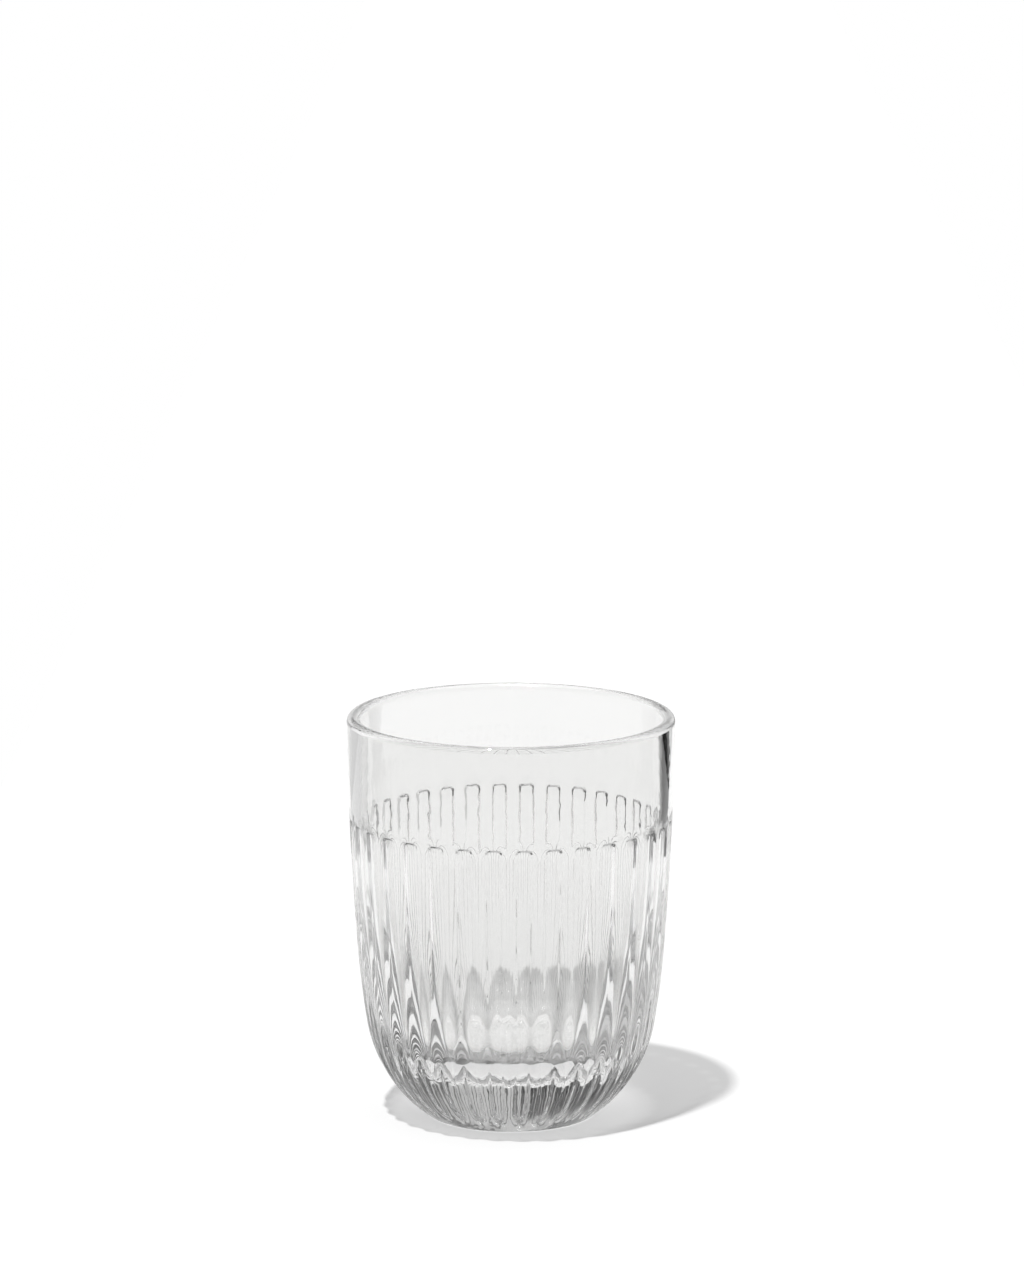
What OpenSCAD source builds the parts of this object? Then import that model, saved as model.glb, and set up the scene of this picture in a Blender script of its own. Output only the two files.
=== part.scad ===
// Juice glass: a clear pressed tumbler with narrow flutes round its wall.
// It is one piece of glass. Its origin is on the table, under the centre of the foot.

/* [Size] */
// Height from the table to the top of the lip
glass_height = 92; // [70:1:120]
// Widest diameter, just under the top of the lip
rim_diameter = 74; // [60:1:95]
// Radius of the round lip, half the lip's thickness
lip_radius = 1.5; // [1:0.1:2.4]

/* [Outer wall] */
// Lean of the wall at the lip, in degrees from upright
lip_lean = 0.4; // [0:0.1:2]
// Radius of the long curve that the upper wall follows
upper_curve = 720; // [450:10:1500]
// Height at which the upper curve hands over to the lower one
upper_curve_end = 37.7; // [30:0.1:50]
// Radius of the curve that the lower wall follows
lower_curve = 197; // [120:1:400]
// Height at which the lower wall turns into the round shoulder
shoulder_height = 21.3; // [16:0.1:28]

/* [Foot] */
// Diameter at which the round shoulder would meet the table
foot_diameter = 38.2; // [28:0.1:48]
// Radius of the soft edge round the foot
foot_edge = 1.5; // [0.5:0.1:3]
// Width of the flat ring that the glass stands on
rest_width = 3; // [1.5:0.1:6]
// Depth of the shallow dish under the base
dish_depth = 0.4; // [0.2:0.1:2]

/* [Inside] */
// Lean of the inner wall, in degrees from upright
inner_lean = 0.4; // [0:0.1:2]
// Thickness of the glass under the drink
floor_height = 13.2; // [8:0.1:18]
// Radius of the curve that the inner wall follows low down
inner_side = 93.5; // [75:0.5:105]
// Lean at which that curve hands over to the bowl, in degrees from upright
inner_turn = 25; // [18:1:30]
// Radius of the round bowl between the inner wall and the inner floor
inner_bowl = 18; // [12:0.5:22]

/* [Flutes] */
// Number of flutes pressed into the wall
flute_count = 34; // [20:1:44]
// Height of the square tops of the flutes
flute_top = 68.6; // [50:0.1:80]
// Depth of a flute
flute_depth = 0.6; // [0.2:0.05:1.2]
// Width of a flute as a share of the spacing between flutes
flute_width_share = 0.5; // [0.3:0.05:0.7]
// Distance from the axis at which the flutes end under the shoulder
flute_tip = 23.4; // [21:0.1:28]

/* [Hidden] */
$fn = 204;
// Facets of a full circle for the long wall curves
long_facets = 2880;
// How far a cut runs past the face that it opens
overrun = 1;

// Heights and radii of the outline, from the lip down
lip_z = glass_height - lip_radius;
rim_r = rim_diameter / 2;
foot_r = foot_diameter / 2;
// Leans at the two hand-overs
upper_lean = asin(sin(lip_lean) + (lip_z - upper_curve_end) / upper_curve);
lower_lean = asin(sin(upper_lean) + (upper_curve_end - shoulder_height) / lower_curve);
// Centres of the wall curves, as [distance from the axis, height]
upper_c = [rim_r, lip_z] - upper_curve * [cos(lip_lean), -sin(lip_lean)];
upper_end = upper_c + upper_curve * [cos(upper_lean), -sin(upper_lean)];
lower_c = upper_end - lower_curve * [cos(upper_lean), -sin(upper_lean)];
lower_end = lower_c + lower_curve * [cos(lower_lean), -sin(lower_lean)];
// The shoulder is the arc that leaves the lower wall smoothly and meets the foot
shoulder_way = lower_end - [foot_r, 0];
shoulder_out = [cos(lower_lean), -sin(lower_lean)];
shoulder_curve = (shoulder_way * shoulder_way) / (2 * (shoulder_way * shoulder_out));
shoulder_c = lower_end - shoulder_curve * shoulder_out;
// Soft edge of the foot, rolled between the shoulder and the table
foot_edge_r = shoulder_c[0]
    + sqrt(pow(shoulder_curve - foot_edge, 2) - pow(shoulder_c[1] - foot_edge, 2));
foot_edge_c = [foot_edge_r, foot_edge];
foot_way = (foot_edge_c - shoulder_c) / (shoulder_curve - foot_edge);
foot_edge_top = shoulder_c[1] + shoulder_curve * foot_way[1];
// The flat ring ends where the dish starts, and the dish is part of a sphere
dish_r = foot_edge_r - rest_width;
dish_curve = (dish_r * dish_r + dish_depth * dish_depth) / (2 * dish_depth);
// Inner wall from the lip down: straight side, its lower curve, bowl and flat floor
inner_rim_r = rim_r - 2 * lip_radius;
turn_z = floor_height + inner_bowl * (1 - sin(inner_turn));
side_z = turn_z + inner_side * (sin(inner_turn) - sin(inner_lean));
side_r = inner_rim_r - (lip_z - side_z) * tan(inner_lean);
side_c = [side_r, side_z] - inner_side * [cos(inner_lean), -sin(inner_lean)];
bowl_c = side_c + (inner_side - inner_bowl) * [cos(inner_turn), -sin(inner_turn)];
// Half the angle that one flute takes up, and the radius of its round tip
flute_half = 180 / flute_count * flute_width_share;
tip_curve = flute_tip * sin(flute_half) / (1 - sin(flute_half));

// Part of a disc between two heights, from the axis outwards
module band(centre, radius, low, high, facets) {
    intersection() {
        translate(centre) circle(radius, $fn = facets);
        translate([0, low]) square([rim_diameter, high - low]);
    }
}

// Half of the outline, filled to the axis and drawn in by an inset, down to the low end
module wall_outline(inset, low) {
    upper_low = upper_end[1] + inset * sin(upper_lean);
    lower_low = lower_end[1] + inset * sin(lower_lean);
    band(upper_c, upper_curve - inset, upper_low, lip_z, long_facets);
    band(lower_c, lower_curve - inset, lower_low, upper_low, long_facets);
    band(shoulder_c, shoulder_curve - inset, low, lower_low, $fn);
}

// Half of the outer form: wall, shoulder and the soft edge of the foot
module outer_outline() {
    wall_outline(0, foot_edge_top);
    square([foot_edge_r, foot_edge_top]);
    intersection() {
        translate(foot_edge_c) circle(foot_edge);
        translate([foot_edge_r, 0]) square([foot_edge, foot_edge_top]);
    }
    translate([inner_rim_r, lip_z]) intersection() {
        translate([lip_radius, 0]) circle(lip_radius);
        square(2 * lip_radius);
    }
}

// Half of the space for the drink
module cavity_outline() {
    polygon([
        [0, side_z], [side_r, side_z], [inner_rim_r, lip_z],
        [inner_rim_r, glass_height + overrun], [0, glass_height + overrun]
    ]);
    band(side_c, inner_side, turn_z, side_z, long_facets);
    band(bowl_c, inner_bowl, floor_height, turn_z, $fn);
    translate([0, floor_height]) square([bowl_c[0], turn_z - floor_height]);
}

// Half of the shallow dish under the base
module dish_outline() {
    intersection() {
        translate([0, dish_depth - dish_curve]) circle(dish_curve, $fn = long_facets);
        square([dish_r, dish_depth]);
    }
}

// The glass before its flutes are pressed in
module plain_glass() {
    rotate_extrude() difference() {
        outer_outline();
        cavity_outline();
        dish_outline();
    }
}

// Space outside the flutes' floor, from the foot's edge up to the tops of the flutes
module flute_skin() {
    rotate_extrude() difference() {
        translate([0, foot_edge_top]) square([rim_r + overrun, flute_top - foot_edge_top]);
        wall_outline(flute_depth, 0);
    }
}

// Plan of one flute: a wedge that ends in a round tip near the axis
module flute_plan() {
    reach = rim_diameter;
    tip_c = flute_tip + tip_curve;
    touch = tip_c * cos(flute_half);
    polygon([
        [tip_c, 0], touch * [cos(flute_half), -sin(flute_half)],
        reach * [cos(flute_half), -sin(flute_half)], reach * [cos(flute_half), sin(flute_half)],
        touch * [cos(flute_half), sin(flute_half)]
    ]);
    intersection() {
        translate([tip_c, 0]) circle(tip_curve);
        polygon([
            [tip_c, 0], touch * [cos(flute_half), -sin(flute_half)],
            [flute_tip - tip_curve, -2 * tip_curve], [flute_tip - tip_curve, 2 * tip_curve],
            touch * [cos(flute_half), sin(flute_half)]
        ]);
    }
}

// One flute as the solid that it takes out of the wall, along +X
module flute() {
    intersection() {
        flute_skin();
        linear_extrude(glass_height) flute_plan();
    }
}

// The glass itself, the only piece
module tumbler() {
    color([0.88, 0.91, 0.91]) difference() {
        plain_glass();
        for (i = [0 : flute_count - 1]) rotate(i * 360 / flute_count) flute();
    }
}

tumbler();
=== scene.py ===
import math

import bpy
import numpy as np
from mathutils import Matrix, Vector


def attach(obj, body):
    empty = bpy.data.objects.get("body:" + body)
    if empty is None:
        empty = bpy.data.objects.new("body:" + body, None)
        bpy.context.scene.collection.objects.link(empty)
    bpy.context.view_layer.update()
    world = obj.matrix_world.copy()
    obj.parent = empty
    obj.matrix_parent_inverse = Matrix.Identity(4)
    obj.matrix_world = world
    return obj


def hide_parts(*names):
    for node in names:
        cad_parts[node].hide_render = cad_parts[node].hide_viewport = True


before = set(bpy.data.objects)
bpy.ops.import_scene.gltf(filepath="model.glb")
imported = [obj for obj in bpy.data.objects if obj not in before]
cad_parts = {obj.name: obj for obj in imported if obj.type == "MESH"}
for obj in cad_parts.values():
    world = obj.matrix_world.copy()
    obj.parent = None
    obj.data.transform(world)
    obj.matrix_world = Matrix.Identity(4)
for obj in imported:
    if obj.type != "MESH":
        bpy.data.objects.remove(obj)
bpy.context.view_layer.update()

MM = 0.001

# Sizes of the glass in millimetres, the same as the solid's
GLASS_HEIGHT, RIM_R, LIP_R = 92.0, 37.0, 1.5
LIP_LEAN = math.radians(0.4)
UPPER_CURVE, UPPER_END = 720.0, 37.7
LOWER_CURVE, SHOULDER = 197.0, 21.3
FOOT_R, FOOT_EDGE, REST_WIDTH, DISH_DEPTH = 19.1, 1.5, 3.0, 0.4
INNER_LEAN, FLOOR_Z = math.radians(0.4), 13.2
INNER_SIDE, INNER_TURN, INNER_BOWL = 93.5, math.radians(25), 18.0
FLUTES, FLUTE_SHARE, FLUTE_TOP, FLUTE_TIP = 34, 0.5, 68.6, 23.4
LIP_Z = GLASS_HEIGHT - LIP_R

# Section of a flute in millimetres: a small sharp step inside a round hollow.
# The step fades out below LOW_FROM, and comes back weaker below FOOT_FROM
STEP, STEP_FOOT = 0.45, 0.3
STEP_WIDTH, STEP_CORNER = 0.8, 0.8
# The hollow is deepest low down and shallow again at the foot, and reaches farther above a flute
HOLLOW, HOLLOW_LOW, HOLLOW_FOOT = 0.35, 0.8, 0.22
HOLLOW_REACH_SHARE = 1.5
LOW_FROM, LOW_OVER = 54.0, 30.0
FOOT_FROM, FOOT_OVER = 20.0, 8.0
# How fast the flutes run out under the shoulder
TIP_SLOPE = 0.35

# Places round half of a flute's spacing where the mesh has its points: in the hollow, on the step
# and on the ridge beyond it
HOLLOW_SHARES = np.array([0, 0.32, 0.62, 0.86])
RIDGE_SHARES = np.array([0.3, 0.65, 1])
STEP_POINTS, STEP_SPREAD_SHARE = 6, 0.54
# Rows of the underside, and of the shoulder below, round and above the flutes' tips and at its top.
# TIP_BELOW and TIP_ABOVE reach from the tips, and SHOULDER_LEFT from the shoulder's widest place
DISH_ROWS, FOOT_ROWS = 6, 7
SHOULDER_ROWS = (4, 16, 8, 12)
TIP_BELOW, TIP_ABOVE, SHOULDER_LEFT = 0.6, 2.2, 3.2
SHOULDER_SAMPLES = 400
LOWER_ROWS, LIP_ROWS, INNER_ROWS, SIDE_ROWS, BOWL_ROWS = 12, 13, 6, 16, 30
# Rows of the upper wall: from one height to another, and how many; closest at the flutes' tops
UPPER_ROWS = (
    (UPPER_END, 54.0, 9),
    (57.0, FLUTE_TOP - 3.5, 4),
    (FLUTE_TOP - 2.6, FLUTE_TOP - 1.2, 4),
    (FLUTE_TOP - 1.0, FLUTE_TOP + 0.4, 13),
    (FLUTE_TOP + 0.6, FLUTE_TOP + 3.2, 8),
    (FLUTE_TOP + 5.0, LIP_Z, 4),
)
# Turned surfaces need fewer points round the axis: one in so many of the fluted wall's. The lip's
# rows are fine up to this angle, where they still join the wall
COARSE, LIP_FINE = 4, 0.8
# Distance over which the slope of the fluted wall is measured, and a usual radius of that wall
PROBE, USUAL_R = 0.02, 30.0
# Width of the narrow row between the dish and the resting ring, and the smallest rows of the dish
# and of the inner floor as shares of their radii
DISH_ROW, DISH_SHARE, FLOOR_SHARE = 0.12, 0.08, 0.3

# Looks of the glass
TINT, REFRACTION = (0.885, 0.885, 0.88, 1.0), 1.52
THICK_TINT, THICK_DENSITY = (0.5, 0.5, 0.5, 1.0), 3.0
RIPPLE_SCALE, RIPPLE_HEIGHT = 400.0, 0.00001
# The ripple is this much stronger below the first of these heights in metres than above the second
RIPPLE_LOW, RIPPLE_HEIGHTS = 7.0, (0.016, 0.026)
# Light that the outer wall keeps from the table, and the share of it by how the surface lies:
# 0 looks straight down and 0.5 is upright. A surface that looks up more than UPRIGHT keeps none
SHADE, UPRIGHT = 0.46, 0.004
SHADE_SHARES = ((0.0, 0.1), (0.04, 0.1), (0.08, 0.65), (0.2, 0.65), (0.36, 1.0), (1.0, 1.0))

# Floor in metres, just under the foot. Its two corners at the back are cut out, so the sides of the
# glass look past the table there
LEFT_X, RIGHT_X, CORNER_Y, FAR, FLOOR_DROP = -0.15, 0.2, 0.27, 6.0, 0.00004
PAPER = (0.93, 0.93, 0.93, 1)

# The studio that the glass sees, by the direction looked in: to the side (right is 1), in depth
# (away is 1) and in height (up is 1). Each one is a smooth ramp: from, to, value there, value there
WHITE_TO_GREY = (0.12, 0.3, 1.0, 0.55)
BELOW_TABLE = (-0.04, 0.04, 1.0, 0.0)
DARK_IN_FRONT = (-0.35, 0.45, 0.1, 1.0)
TABLE_END_SIDE, TABLE_END_DEPTH = (-0.1, 0.1, 0.3, 0.95), (0.0, 0.2, 0.0, 1.0)
DARK_RIGHT = (0.3, 0.45, 1.0, 0.12)
FLAG_LOW, FLAG_HIGH = (0.2, 0.26, 0.0, 1.0), (0.52, 0.6, 1.0, 0.0)
FLAG_SIDE, FLAG_DEPTH = (-0.1, -0.03, 1.0, 0.0), (0.2, 0.35, 0.0, 1.0)
BAND_LOW, BAND_HIGH = (0.7, 0.74, 0.0, 0.9), (0.79, 0.82, 1.0, 0.0)
CEILING = (0.8, 0.84, 0.0, 1.2)
FLAG_SHARE, SOFT_LIGHT = 0.97, 0.2

# Key light from the front left, high up: strength, width in degrees and the way that it comes from
KEY_STRENGTH, KEY_ANGLE, KEY_FROM = 3.15, 2.4, (-14.7, -26.0, 91.0)
# Light that the thick base gathers on the table: power, width in degrees, softness, size and place
GATHERED_POWER, GATHERED_ANGLE, GATHERED_BLEND = 1.4, 11, 0.6
GATHERED_SIZE, GATHERED_FROM = 0.01, (0, 0.02, 0.3)

# Camera at the photograph's angle, in millimetres, degrees and pixels of the photograph
DISTANCE, ELEVATION, PITCH, TURN, AIM_Z = 1295.0, 12.8, 11.03, 0.74, 68.2
PHOTO_HEIGHT, FOCAL_PX, SHIFT_PX = 1280, 5736.5, 1.0
SENSOR = 36.0


def arc_chain():
    """The outer wall's three arcs as centre, radius and two leans, and the radius of the foot's edge."""
    a0 = LIP_LEAN
    a1 = math.asin(math.sin(a0) + (LIP_Z - UPPER_END) / UPPER_CURVE)
    a2 = math.asin(math.sin(a1) + (UPPER_END - SHOULDER) / LOWER_CURVE)
    c1 = np.array([RIM_R, LIP_Z]) - UPPER_CURVE * np.array([math.cos(a0), -math.sin(a0)])
    e1 = c1 + UPPER_CURVE * np.array([math.cos(a1), -math.sin(a1)])
    c2 = e1 - LOWER_CURVE * np.array([math.cos(a1), -math.sin(a1)])
    out = np.array([math.cos(a2), -math.sin(a2)])
    e2 = c2 + LOWER_CURVE * out
    way = e2 - np.array([FOOT_R, 0.0])
    r3 = way @ way / (2 * way @ out)
    c3 = e2 - r3 * out
    edge_r = c3[0] + math.sqrt((r3 - FOOT_EDGE) ** 2 - (c3[1] - FOOT_EDGE) ** 2)
    foot_way = (np.array([edge_r, FOOT_EDGE]) - c3) / (r3 - FOOT_EDGE)
    arcs = [(c1, UPPER_CURVE, a0, a1), (c2, LOWER_CURVE, a1, a2), (c3, r3, a2, math.asin(-foot_way[1]))]
    return arcs, edge_r


ARCS, EDGE_R = arc_chain()
UPPER, LOWER, ROUND = 0, 1, 2


def wall_point(arc, t):
    """Point (r, z) and outward normal of the outer wall, part of the way along one of its arcs."""
    c, radius, a, b = ARCS[arc]
    lean = a + (b - a) * t
    n = np.array([math.cos(lean), -math.sin(lean)])
    return c + radius * n, n


def smooth(x):
    """A step from 0 to 1 with no slope or bend at its ends."""
    x = np.clip(x, 0, 1)
    return x * x * x * (x * (6 * x - 15) + 10)


def inside_flute(u, up, half, corner):
    """How far inside a flute a place is, given its round corners: up is the way to the flute's end."""
    qx, qy = corner - (half - u), corner - up
    rounded = corner - np.hypot(np.maximum(qx, 0), np.maximum(qy, 0))
    return np.where((qx > 0) | (qy > 0), rounded, np.minimum(half - u, up))


def flute_depth(theta, r, z):
    """Depth of the flutes at an angle and a place on the wall."""
    pitch = 2 * math.pi / FLUTES
    u = np.abs((theta + pitch / 2) % pitch - pitch / 2) * r
    half = r * math.pi / FLUTES * FLUTE_SHARE
    low = float(smooth((LOW_FROM - z) / LOW_OVER))
    foot = float(smooth((FOOT_FROM - z) / FOOT_OVER))
    step = STEP * (1 - low) + STEP_FOOT * foot
    hollow = HOLLOW + (HOLLOW_LOW - HOLLOW) * low + (HOLLOW_FOOT - HOLLOW_LOW) * foot
    # the flutes end square at the top and round under the shoulder
    sharp = inside_flute(u, FLUTE_TOP - z, half, STEP_CORNER)
    wide = inside_flute(u, (FLUTE_TOP - z) / HOLLOW_REACH_SHARE, half, half)
    tip = (r - FLUTE_TIP) * TIP_SLOPE
    sharp = np.minimum(sharp, inside_flute(u, tip, half, half))
    wide = np.minimum(wide, inside_flute(u, tip, half, half))
    far = r * math.pi / FLUTES - half
    share = np.where(wide > 0, 0.5 + 0.5 * wide / half, 0.5 + 0.5 * wide / far)
    wave = 0.5 - 0.5 * np.cos(math.pi * np.clip(share, 0, 1))
    return step * smooth((sharp + STEP_WIDTH / 2) / STEP_WIDTH) + hollow * wave


def ring_angles(r):
    """Angles round the axis for one row, closer together on the steps at the sides of the flutes."""
    pitch = 2 * math.pi / FLUTES
    half = pitch / 2 * FLUTE_SHARE
    edge = min(STEP_WIDTH / r, 0.5 * half)
    near, far = half - STEP_SPREAD_SHARE * edge, half + STEP_SPREAD_SHARE * edge
    one = np.concatenate([near * HOLLOW_SHARES, np.linspace(near, far, STEP_POINTS),
                          far + (pitch / 2 - far) * RIDGE_SHARES])
    marks = np.concatenate([-one[-2:0:-1], one])
    return np.concatenate([k * pitch + marks for k in range(FLUTES)])


def fluted(arc, t, angles):
    """Points of the fluted wall at one height and some angles."""
    (r, z), n = wall_point(arc, t)
    d = flute_depth(angles, r, z)
    r, z = r - d * n[0], z - d * n[1]
    return np.stack([r * np.cos(angles), r * np.sin(angles), z], 1)


def fluted_row(arc, t):
    """Points and exact normals of one row of the fluted wall."""
    _, radius, a, b = ARCS[arc]
    dt = PROBE / abs(radius * (b - a))
    da = PROBE / USUAL_R
    angles = ring_angles(wall_point(arc, t)[0][0])
    up = fluted(arc, t - dt, angles) - fluted(arc, t + dt, angles)
    on = fluted(arc, t, angles + da) - fluted(arc, t, angles - da)
    n = np.cross(on, up)
    return fluted(arc, t, angles), n / np.linalg.norm(n, axis=1)[:, None]


def plain_row(r, z, nr, nz, angles):
    """Points and normals of a row of plain turned surface."""
    one = np.ones(len(angles))
    return (np.stack([r * np.cos(angles), r * np.sin(angles), z * one], 1),
            np.stack([nr * np.cos(angles), nr * np.sin(angles), nz * one], 1))


def foot_rows():
    """Rows of the underside: the dish, the resting ring and the foot's soft edge."""
    fine = ring_angles(wall_point(ROUND, 1)[0][0])
    coarse = fine[::COARSE]
    dish_r = EDGE_R - REST_WIDTH
    dish_curve = (dish_r ** 2 + DISH_DEPTH ** 2) / (2 * DISH_DEPTH)
    dish_c = DISH_DEPTH - dish_curve
    rows = []
    for r in np.linspace(DISH_SHARE, 1, DISH_ROWS) * dish_r:
        z = dish_c + math.sqrt(dish_curve ** 2 - r * r)
        rows.append(plain_row(r, z, -r / dish_curve, -(z - dish_c) / dish_curve, coarse))
    rows.append(plain_row(dish_r + DISH_ROW, 0.0, 0.0, -1.0, coarse))
    lean_foot = ARCS[ROUND][3]
    for t in np.linspace(0, 1, FOOT_ROWS, endpoint=False):
        a = math.pi / 2 + (lean_foot - math.pi / 2) * t
        rows.append(plain_row(EDGE_R + FOOT_EDGE * math.cos(a), FOOT_EDGE - FOOT_EDGE * math.sin(a),
                              math.cos(a), -math.sin(a), fine if t > 0.5 else coarse))
    return rows


def shoulder_marks():
    """Places along the round shoulder from the foot up, closest at the tips of the flutes."""
    table_t = np.linspace(1, 0, SHOULDER_SAMPLES)
    table_r = np.array([wall_point(ROUND, t)[0][0] for t in table_t])
    low_r, high_r = table_r[0], table_r[-1] - SHOULDER_LEFT
    tip_low, tip_high = FLUTE_TIP - TIP_BELOW, FLUTE_TIP + TIP_ABOVE
    below, tips, above, top = SHOULDER_ROWS
    near_r = np.concatenate([np.linspace(low_r, tip_low, below, endpoint=False),
                             np.linspace(tip_low, tip_high, tips, endpoint=False),
                             np.linspace(tip_high, high_r, above, endpoint=False)])
    near_t = np.interp(near_r, table_r, table_t)
    last_t = np.interp(high_r, table_r, table_t)
    return np.concatenate([near_t, np.linspace(last_t, 0, top, endpoint=False)])


def wall_rows():
    """Rows of the fluted wall from the foot up to the lip."""
    rows = [fluted_row(ROUND, t) for t in shoulder_marks()]
    rows += [fluted_row(LOWER, t) for t in np.linspace(1, 0, LOWER_ROWS, endpoint=False)]
    a0, a1 = ARCS[UPPER][2:]
    for z in np.concatenate([np.linspace(*stretch) for stretch in UPPER_ROWS]):
        lean = math.asin(math.sin(a0) + (LIP_Z - z) / UPPER_CURVE)
        rows.append(fluted_row(UPPER, (lean - a0) / (a1 - a0)))
    return rows


def lip_rows(fine):
    """Rows of the round lip, from the outside over to the inside."""
    rows = []
    for t in np.linspace(0, math.pi, LIP_ROWS)[1:-1]:
        rows.append(plain_row(RIM_R - LIP_R + LIP_R * math.cos(t), LIP_Z + LIP_R * math.sin(t),
                              math.cos(t), math.sin(t), fine if t < LIP_FINE else fine[::COARSE]))
    return rows


def inner_rows(angles):
    """Rows of the inside from the lip down: straight wall, its lower curve, bowl and floor."""
    inner_rim = RIM_R - 2 * LIP_R
    turn_z = FLOOR_Z + INNER_BOWL * (1 - math.sin(INNER_TURN))
    side_z = turn_z + INNER_SIDE * (math.sin(INNER_TURN) - math.sin(INNER_LEAN))
    side_r = inner_rim - (LIP_Z - side_z) * math.tan(INNER_LEAN)
    turn_r = side_r - INNER_SIDE * (math.cos(INNER_LEAN) - math.cos(INNER_TURN))
    bowl_r = turn_r - INNER_BOWL * math.cos(INNER_TURN)
    rows = []
    for t in np.linspace(0, 1, INNER_ROWS, endpoint=False):
        rows.append(plain_row(inner_rim + (side_r - inner_rim) * t, LIP_Z + (side_z - LIP_Z) * t,
                              -math.cos(INNER_LEAN), math.sin(INNER_LEAN), angles))
    for t in np.linspace(0, 1, SIDE_ROWS, endpoint=False):
        a = INNER_LEAN + (INNER_TURN - INNER_LEAN) * t
        rows.append(plain_row(side_r - INNER_SIDE * (math.cos(INNER_LEAN) - math.cos(a)),
                              side_z - INNER_SIDE * (math.sin(a) - math.sin(INNER_LEAN)),
                              -math.cos(a), math.sin(a), angles))
    for t in np.linspace(0, 1, BOWL_ROWS):
        a = INNER_TURN + (math.pi / 2 - INNER_TURN) * t
        rows.append(plain_row(bowl_r + INNER_BOWL * math.cos(a), FLOOR_Z + INNER_BOWL * (1 - math.sin(a)),
                              -math.cos(a), math.sin(a), angles))
    rows.append(plain_row(FLOOR_SHARE * bowl_r, FLOOR_Z, 0.0, 1.0, angles))
    return rows


def joined(low_count, high_count, low_start, high_start):
    """Faces between two rows of points. Where one row is coarser, it has a quarter of the other's."""
    if low_count == high_count:
        a, b = np.arange(low_count), (np.arange(low_count) + 1) % low_count
        return np.stack([a + low_start, b + low_start, b + high_start, a + high_start], 1).tolist()
    few, many = min(low_count, high_count), max(low_count, high_count)
    faces = []
    for k in range(few):
        j = (k + 1) % few
        fine = [(COARSE * k + q) % many for q in range(COARSE + 1)]
        if low_count < high_count:
            fine = [high_start + q for q in fine]
            k, j = low_start + k, low_start + j
            faces += [[k, fine[1], fine[0]], [k, fine[2], fine[1]], [k, j, fine[2]],
                      [j, fine[3], fine[2]], [j, fine[4], fine[3]]]
        else:
            fine = [low_start + q for q in fine]
            k, j = high_start + k, high_start + j
            faces += [[fine[0], fine[1], k], [fine[1], fine[2], k], [fine[2], j, k],
                      [fine[2], fine[3], j], [fine[3], fine[4], j]]
    return faces


def new_object(name, data):
    """An object in the scene that carries some data."""
    obj = bpy.data.objects.new(name, data)
    bpy.context.scene.collection.objects.link(obj)
    return obj


def closed_mesh(name, rows, low_pole, high_pole):
    """One closed mesh from rows of points and normals, joined ring by ring and closed at both poles."""
    verts = np.concatenate([points for points, _ in rows] + [[low_pole[0]], [high_pole[0]]]) * MM
    normals = np.concatenate([n for _, n in rows] + [[low_pole[1]], [high_pole[1]]])
    counts = [len(points) for points, _ in rows]
    starts = np.cumsum([0] + counts)
    faces = []
    for i in range(len(rows) - 1):
        faces += joined(counts[i], counts[i + 1], starts[i], starts[i + 1])
    first, last = len(verts) - 2, len(verts) - 1
    faces += [[first, (k + 1) % counts[0], k] for k in range(counts[0])]
    faces += [[last, starts[-2] + k, starts[-2] + (k + 1) % counts[-1]] for k in range(counts[-1])]
    mesh = bpy.data.meshes.new(name)
    mesh.from_pydata(verts.tolist(), [], faces)
    mesh.update()
    mesh.shade_smooth()
    mesh.normals_split_custom_set_from_vertices(normals.tolist())
    return new_object(name, mesh)


def build_glass():
    """The whole glass as one closed mesh, from under the foot, over the lip, to the inner floor."""
    lip_angles = ring_angles(RIM_R)
    rows = foot_rows() + wall_rows() + lip_rows(lip_angles) + inner_rows(lip_angles[::COARSE])
    low_pole = (0, 0, DISH_DEPTH), (0, 0, -1)
    high_pole = (0, 0, FLOOR_Z), (0, 0, 1)
    return closed_mesh("glass_tumbler", rows, low_pole, high_pole)


def set_input(tree, socket, value):
    """Give a node's input a plain value, or the output of another node."""
    if isinstance(value, bpy.types.NodeSocket):
        tree.links.new(value, socket)
    else:
        socket.default_value = value


def add_node(tree, kind, inputs):
    """A new node with some of its inputs given."""
    node = tree.nodes.new(kind)
    for name, value in inputs.items():
        set_input(tree, node.inputs[name], value)
    return node


def maths(tree, operation, *values, clamp=False):
    """One sum of values or of other nodes' outputs, and its result."""
    node = tree.nodes.new("ShaderNodeMath")
    node.operation = operation
    node.use_clamp = clamp
    for socket, value in zip(node.inputs, values):
        set_input(tree, socket, value)
    return node.outputs[0]


def ramp(tree, value, low, high, at_low, at_high, kind="SMOOTHSTEP"):
    """A value that goes from at_low to at_high while the given one goes from low to high."""
    node = add_node(tree, "ShaderNodeMapRange", {
        "Value": value, "From Min": low, "From Max": high, "To Min": at_low, "To Max": at_high})
    node.interpolation_type = kind
    return node.outputs["Result"]


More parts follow.
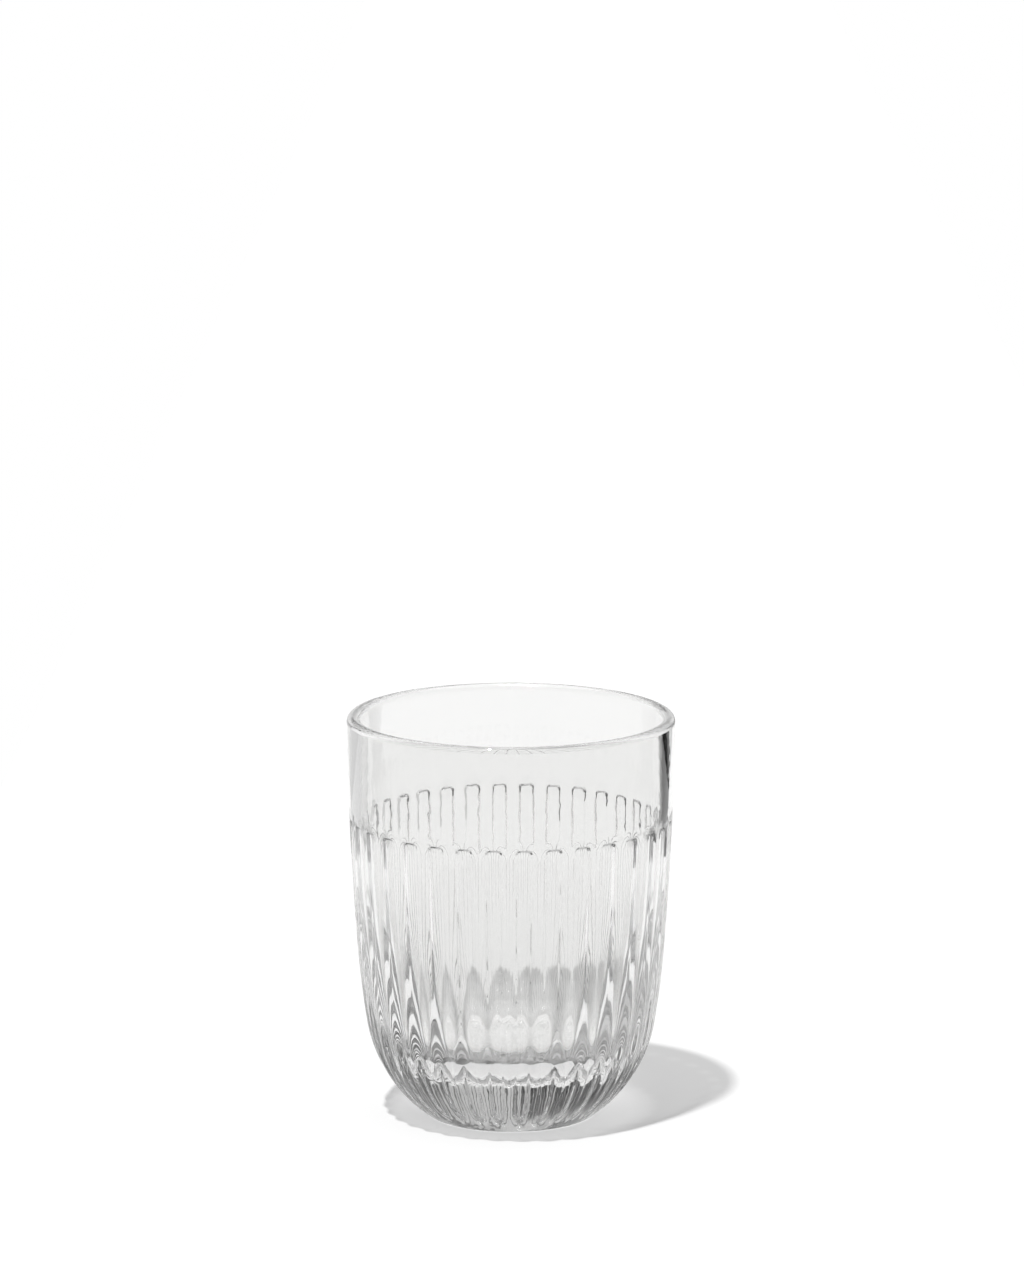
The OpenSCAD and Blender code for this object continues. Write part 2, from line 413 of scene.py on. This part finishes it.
def wall_shadow(tree):
    """Clear glass as a shadow ray meets it: the outer wall keeps part of the light from the table."""
    place = tree.nodes.new("ShaderNodeNewGeometry")
    tilt = add_node(tree, "ShaderNodeSeparateXYZ", {0: place.outputs["True Normal"]}).outputs["Z"]
    share = tree.nodes.new("ShaderNodeFloatCurve")
    curve = share.mapping.curves[0]
    curve.points[0].location = SHADE_SHARES[0]
    curve.points[1].location = SHADE_SHARES[-1]
    for at in SHADE_SHARES[1:-1]:
        curve.points.new(*at).handle_type = "VECTOR"
    share.mapping.update()
    set_input(tree, share.inputs["Value"], maths(tree, "MULTIPLY_ADD", tilt, 0.5, 0.5))
    shade = maths(tree, "MULTIPLY", share.outputs["Value"], maths(tree, "LESS_THAN", tilt, UPRIGHT))
    outer = maths(tree, "SUBTRACT", shade, place.outputs["Backfacing"], clamp=True)
    passed = maths(tree, "MULTIPLY_ADD", outer, -SHADE, 1.0)
    return add_node(tree, "ShaderNodeBsdfTransparent", {"Color": passed}).outputs["BSDF"]


def pressed_ripple(tree):
    """The faint unevenness of pressed glass, stronger in the thick base."""
    coords = tree.nodes.new("ShaderNodeTexCoord").outputs["Object"]
    ripple = add_node(tree, "ShaderNodeTexNoise", {"Vector": coords, "Scale": RIPPLE_SCALE, "Detail": 1.0})
    height = add_node(tree, "ShaderNodeSeparateXYZ", {0: coords}).outputs["Z"]
    base = ramp(tree, height, *RIPPLE_HEIGHTS, RIPPLE_LOW, 1.0, kind="LINEAR")
    rough = maths(tree, "MULTIPLY", ripple.outputs["Fac"], base)
    bump = add_node(tree, "ShaderNodeBump", {"Distance": RIPPLE_HEIGHT, "Height": rough})
    return bump.outputs["Normal"]


def glass_material():
    """Clear pressed glass: a faint tint, and a little more of it where the glass is thick."""
    mat = bpy.data.materials.new("pressed_glass")
    mat.use_nodes = True
    tree = mat.node_tree
    tree.nodes.clear()
    shader = add_node(tree, "ShaderNodeBsdfPrincipled", {
        "Base Color": TINT, "Roughness": 0.0, "IOR": REFRACTION, "Transmission Weight": 1.0,
        "Normal": pressed_ripple(tree)})
    shadow_ray = tree.nodes.new("ShaderNodeLightPath").outputs["Is Shadow Ray"]
    mix = add_node(tree, "ShaderNodeMixShader", {
        0: shadow_ray, 1: shader.outputs["BSDF"], 2: wall_shadow(tree)})
    inside = add_node(tree, "ShaderNodeVolumeAbsorption", {"Color": THICK_TINT, "Density": THICK_DENSITY})
    add_node(tree, "ShaderNodeOutputMaterial", {
        "Surface": mix.outputs["Shader"], "Volume": inside.outputs["Volume"]})
    return mat


def build_floor():
    """A wide plain sheet that keeps the shadow: all of the front, and a strip that runs to the back."""
    corners = ((-FAR, -FAR), (FAR, -FAR), (FAR, CORNER_Y), (RIGHT_X, CORNER_Y),
               (LEFT_X, CORNER_Y), (-FAR, CORNER_Y), (RIGHT_X, FAR), (LEFT_X, FAR))
    sheet = bpy.data.meshes.new("floor")
    sheet.from_pydata([(x, y, -FLOOR_DROP) for x, y in corners], [], [(0, 1, 2, 3, 4, 5), (4, 3, 6, 7)])
    mat = bpy.data.materials.new("floor_white")
    mat.use_nodes = True
    paper = mat.node_tree.nodes["Principled BSDF"]
    paper.inputs["Base Color"].default_value = PAPER
    paper.inputs["Roughness"].default_value = 1.0
    paper.inputs["Specular IOR Level"].default_value = 0.0
    sheet.materials.append(mat)
    return new_object("floor", sheet)


def light_studio():
    """The world: white to the camera, a weak soft light, and in the glass a studio.
    It is white low down behind the table and grey above, darker in front, beyond the table's ends and
    on the right, with a black flag at the back on the left and a dim band under a bright ceiling."""
    world = bpy.data.worlds.new("studio")
    bpy.context.scene.world = world
    world.use_nodes = True
    tree = world.node_tree
    back = tree.nodes["Background"]
    back.inputs["Color"].default_value = (1, 1, 1, 1)
    coords = tree.nodes.new("ShaderNodeTexCoord").outputs["Generated"]
    side, depth, height = add_node(tree, "ShaderNodeSeparateXYZ", {0: coords}).outputs

    def times(a, b):
        return maths(tree, "MULTIPLY", a, b)

    def without(share):
        return maths(tree, "SUBTRACT", 1.0, share)

    room = ramp(tree, height, *WHITE_TO_GREY)
    low = ramp(tree, height, *BELOW_TABLE)
    room = times(room, maths(tree, "MAXIMUM", ramp(tree, depth, *DARK_IN_FRONT), low))
    past_table = times(times(low, ramp(tree, side, *TABLE_END_SIDE)), ramp(tree, depth, *TABLE_END_DEPTH))
    room = times(room, without(past_table))
    room = times(room, ramp(tree, side, *DARK_RIGHT))
    flag = times(ramp(tree, height, *FLAG_LOW), ramp(tree, height, *FLAG_HIGH))
    flag = times(flag, ramp(tree, side, *FLAG_SIDE))
    flag = times(flag, ramp(tree, depth, *FLAG_DEPTH))
    room = times(room, without(times(flag, FLAG_SHARE)))
    room = times(room, without(times(ramp(tree, height, *BAND_LOW), ramp(tree, height, *BAND_HIGH))))
    room = maths(tree, "ADD", room, ramp(tree, height, *CEILING))
    path = tree.nodes.new("ShaderNodeLightPath").outputs
    in_glass = maths(tree, "MAXIMUM", path["Is Glossy Ray"], path["Is Transmission Ray"])
    level = maths(tree, "ADD", times(in_glass, room), times(without(in_glass), SOFT_LIGHT))
    set_input(tree, back.inputs["Strength"], maths(tree, "MAXIMUM", level, path["Is Camera Ray"]))


def add_lamps():
    """The key light, and the light that the base gathers on the table."""
    light = bpy.data.lights.new("key", "SUN")
    light.energy = KEY_STRENGTH
    light.angle = math.radians(KEY_ANGLE)
    key = new_object("key", light)
    key.rotation_mode = "QUATERNION"
    key.rotation_quaternion = Vector(KEY_FROM).to_track_quat("Z", "Y")
    light = bpy.data.lights.new("gathered", "SPOT")
    light.energy = GATHERED_POWER
    light.spot_size = math.radians(GATHERED_ANGLE)
    light.spot_blend = GATHERED_BLEND
    light.shadow_soft_size = GATHERED_SIZE
    gathered = new_object("gathered", light)
    gathered.location = GATHERED_FROM


def add_camera():
    """The camera, aimed at the glass from the photograph's angle."""
    data = bpy.data.cameras.new("camera")
    cam = new_object("camera", data)
    data.sensor_fit = "VERTICAL"
    data.sensor_height = SENSOR
    data.lens = FOCAL_PX / PHOTO_HEIGHT * SENSOR
    data.shift_x = SHIFT_PX / PHOTO_HEIGHT
    data.clip_start, data.clip_end = 0.05, 50
    up, turn = math.radians(ELEVATION), math.radians(TURN)
    away = Vector((math.sin(turn) * math.cos(up), -math.cos(turn) * math.cos(up), math.sin(up)))
    cam.location = Vector((0, 0, AIM_Z * MM)) + away * DISTANCE * MM
    cam.rotation_euler = (math.radians(90 - PITCH), 0, turn)
    bpy.context.scene.camera = cam


glass = build_glass()
glass.data.materials.append(glass_material())
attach(glass, "root")
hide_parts("tumbler")
floor = build_floor()
light_studio()
add_lamps()
add_camera()

scene = bpy.context.scene
scene.view_settings.view_transform = "Standard"
scene.cycles.max_bounces = 32
scene.cycles.glossy_bounces = 24
scene.cycles.transmission_bounces = 32
# the glass's own shadow lets light through, so no more of it comes in through the glass
scene.cycles.caustics_reflective = False
scene.cycles.caustics_refractive = False
